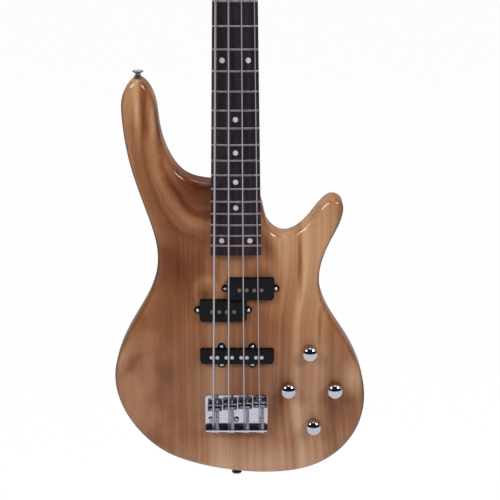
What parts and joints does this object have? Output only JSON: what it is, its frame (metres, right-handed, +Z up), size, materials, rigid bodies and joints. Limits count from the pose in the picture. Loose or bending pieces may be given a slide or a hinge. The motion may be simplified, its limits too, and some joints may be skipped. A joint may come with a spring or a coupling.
{
  "type": "electric bass guitar",
  "caption": "Solid-body electric bass guitar with a bolt-on fretted neck, split and long pickups, adjustable saddle bridge, dome knobs and open worm-geared tuners.",
  "frame": {"origin": "outer end of the tail strap button, on its axis, at the lower end of the instrument", "axes": "+Z up the neck to the headstock, +X towards the treble strings, +Y towards the back; the strings face -Y"},
  "size_m": [0.3201, 0.0603, 1.1566],
  "materials": {
    "body_wood": "clear gloss lacquer over straight natural grain",
    "neck_wood": "satin lacquer on pale close-grained wood",
    "fretboard_wood": "oiled dark open-grained wood",
    "pearl_dot": "polished pale pearl",
    "fret_wire": "polished nickel alloy",
    "nut_plastic": "smooth off-white",
    "black_plastic": "satin moulded black",
    "bobbin_plastic": "wax-dipped black",
    "steel": "plain steel",
    "chrome": "polished chrome plate",
    "string_steel": "round-wound nickel steel",
    "foam": "open-cell grey foam",
    "felt": "pressed dark felt",
    "pot_can": "pressed metal can",
    "lead_cover": "matt insulation"
  },
  "bodies": {
    "instrument": {"body": "body_wood", "neck": "neck_wood", "truss_rod": "steel", "truss_rod_cover": "black_plastic", "fret_markers": "pearl_dot", "fretboard": "fretboard_wood", "frets": "fret_wire", "nut": "nut_plastic", "neck_plate": "chrome", "neck_screws": "chrome", "bridge_plate": "chrome", "bridge_screws": "chrome", "saddle_springs": "steel", "tuner_plates": "chrome", "tuner_bushings": "chrome", "tuner_screws": "chrome", "string_e": "string_steel", "string_a": "string_steel", "string_d": "string_steel", "string_g": "string_steel", "split_pickup_covers": "black_plastic", "bridge_pickup_cover": "black_plastic", "pickup_bobbins": "bobbin_plastic", "pickup_poles": "steel", "pickup_foams": "foam", "pickup_screws": "chrome", "potentiometers": "pot_can", "panel_nuts": "chrome", "control_cover": "black_plastic", "cover_screws": "chrome", "output_jack": "chrome", "strap_buttons": "chrome", "strap_felts": "felt", "strap_screws": "chrome", "wiring": "lead_cover"},
    "intonation_screw_e": {"intonation_screw_e": "chrome"},
    "saddle_e": {"saddle_e": "chrome"},
    "tuner_key_e": {"tuner_key_e": "chrome"},
    "tuner_post_e": {"tuner_post_e": "chrome"},
    "intonation_screw_a": {"intonation_screw_a": "chrome"},
    "saddle_a": {"saddle_a": "chrome"},
    "tuner_key_a": {"tuner_key_a": "chrome"},
    "tuner_post_a": {"tuner_post_a": "chrome"},
    "intonation_screw_d": {"intonation_screw_d": "chrome"},
    "saddle_d": {"saddle_d": "chrome"},
    "tuner_key_d": {"tuner_key_d": "chrome"},
    "tuner_post_d": {"tuner_post_d": "chrome"},
    "intonation_screw_g": {"intonation_screw_g": "chrome"},
    "saddle_g": {"saddle_g": "chrome"},
    "tuner_key_g": {"tuner_key_g": "chrome"},
    "tuner_post_g": {"tuner_post_g": "chrome"},
    "knob_upper": {"knob_upper": "chrome", "pot_shaft_upper": "steel"},
    "knob_inner": {"knob_inner": "chrome", "pot_shaft_inner": "steel"},
    "knob_outer": {"knob_outer": "chrome", "pot_shaft_outer": "steel"},
    "knob_lower": {"knob_lower": "chrome", "pot_shaft_lower": "steel"}
  },
  "joints": [
    {"name": "intonation_e_turn", "type": "hinge", "parent": "instrument", "child": "intonation_screw_e", "pos_m": [-0.02465, -0.0293, 0.0737], "axis": [0, 0, 1], "range_deg": [-3602, 3602]},
    {"name": "saddle_e_slide", "type": "slide", "parent": "instrument", "child": "saddle_e", "axis": [0, 0, 1], "range_m": [-0.005, 0.005], "deforming": ["saddle_springs", "string_e"]},
    {"name": "intonation_a_turn", "type": "hinge", "parent": "instrument", "child": "intonation_screw_a", "pos_m": [-0.00535, -0.0293, 0.0737], "axis": [0, 0, 1], "range_deg": [-3602, 3602]},
    {"name": "saddle_a_slide", "type": "slide", "parent": "instrument", "child": "saddle_a", "axis": [0, 0, 1], "range_m": [-0.005, 0.005], "deforming": ["saddle_springs", "string_a"]},
    {"name": "intonation_d_turn", "type": "hinge", "parent": "instrument", "child": "intonation_screw_d", "pos_m": [0.01395, -0.0293, 0.0737], "axis": [0, 0, 1], "range_deg": [-3602, 3602]},
    {"name": "saddle_d_slide", "type": "slide", "parent": "instrument", "child": "saddle_d", "axis": [0, 0, 1], "range_m": [-0.005, 0.005], "deforming": ["saddle_springs", "string_d"]},
    {"name": "intonation_g_turn", "type": "hinge", "parent": "instrument", "child": "intonation_screw_g", "pos_m": [0.03325, -0.0293, 0.0737], "axis": [0, 0, 1], "range_deg": [-3602, 3602]},
    {"name": "saddle_g_slide", "type": "slide", "parent": "instrument", "child": "saddle_g", "axis": [0, 0, 1], "range_m": [-0.005, 0.005], "deforming": ["saddle_springs", "string_g"]},
    {"name": "tuner_key_e_turn", "type": "hinge", "parent": "instrument", "child": "tuner_key_e", "pos_m": [-0.025, 0.00462, 1.01871], "axis": [1, 0, 0], "continuous": true},
    {"name": "tuner_post_e_turn", "type": "hinge", "parent": "instrument", "child": "tuner_post_e", "pos_m": [-0.025, -0.01293, 1.03452], "axis": [0, 0.9848, -0.1736], "continuous": true},
    {"name": "tuner_key_a_turn", "type": "hinge", "parent": "instrument", "child": "tuner_key_a", "pos_m": [-0.0185, 0.01469, 1.07583], "axis": [1, 0, 0], "continuous": true},
    {"name": "tuner_post_a_turn", "type": "hinge", "parent": "instrument", "child": "tuner_post_a", "pos_m": [-0.0185, -0.00286, 1.09164], "axis": [0, 0.9848, -0.1736], "continuous": true},
    {"name": "tuner_key_d_turn", "type": "hinge", "parent": "instrument", "child": "tuner_key_d", "pos_m": [0.0185, 0.01469, 1.07583], "axis": [1, 0, 0], "continuous": true},
    {"name": "tuner_post_d_turn", "type": "hinge", "parent": "instrument", "child": "tuner_post_d", "pos_m": [0.0185, -0.00286, 1.09164], "axis": [0, 0.9848, -0.1736], "continuous": true},
    {"name": "tuner_key_g_turn", "type": "hinge", "parent": "instrument", "child": "tuner_key_g", "pos_m": [0.025, 0.00462, 1.01871], "axis": [1, 0, 0], "continuous": true},
    {"name": "tuner_post_g_turn", "type": "hinge", "parent": "instrument", "child": "tuner_post_g", "pos_m": [0.025, -0.01293, 1.03452], "axis": [0, 0.9848, -0.1736], "continuous": true},
    {"name": "knob_upper_turn", "type": "hinge", "parent": "instrument", "child": "knob_upper", "pos_m": [0.0932, -0.019, 0.1806], "axis": [0, -1, 0], "range_deg": [-150, 150]},
    {"name": "knob_inner_turn", "type": "hinge", "parent": "instrument", "child": "knob_inner", "pos_m": [0.0667, -0.019, 0.1294], "axis": [0, -1, 0], "range_deg": [-150, 150]},
    {"name": "knob_outer_turn", "type": "hinge", "parent": "instrument", "child": "knob_outer", "pos_m": [0.1257, -0.019, 0.1294], "axis": [0, -1, 0], "range_deg": [-150, 150]},
    {"name": "knob_lower_turn", "type": "hinge", "parent": "instrument", "child": "knob_lower", "pos_m": [0.0992, -0.019, 0.0782], "axis": [0, -1, 0], "range_deg": [-150, 150]}
  ],
  "couplings": [
    {"joint": "intonation_e_turn", "follows": "saddle_e_slide", "rad_per_m": -12566},
    {"joint": "intonation_a_turn", "follows": "saddle_a_slide", "rad_per_m": -12566},
    {"joint": "intonation_d_turn", "follows": "saddle_d_slide", "rad_per_m": -12566},
    {"joint": "intonation_g_turn", "follows": "saddle_g_slide", "rad_per_m": -12566},
    {"joint": "tuner_post_e_turn", "follows": "tuner_key_e_turn", "ratio": 0.05},
    {"joint": "tuner_post_a_turn", "follows": "tuner_key_a_turn", "ratio": 0.05},
    {"joint": "tuner_post_d_turn", "follows": "tuner_key_d_turn", "ratio": -0.05},
    {"joint": "tuner_post_g_turn", "follows": "tuner_key_g_turn", "ratio": -0.05}
  ]
}
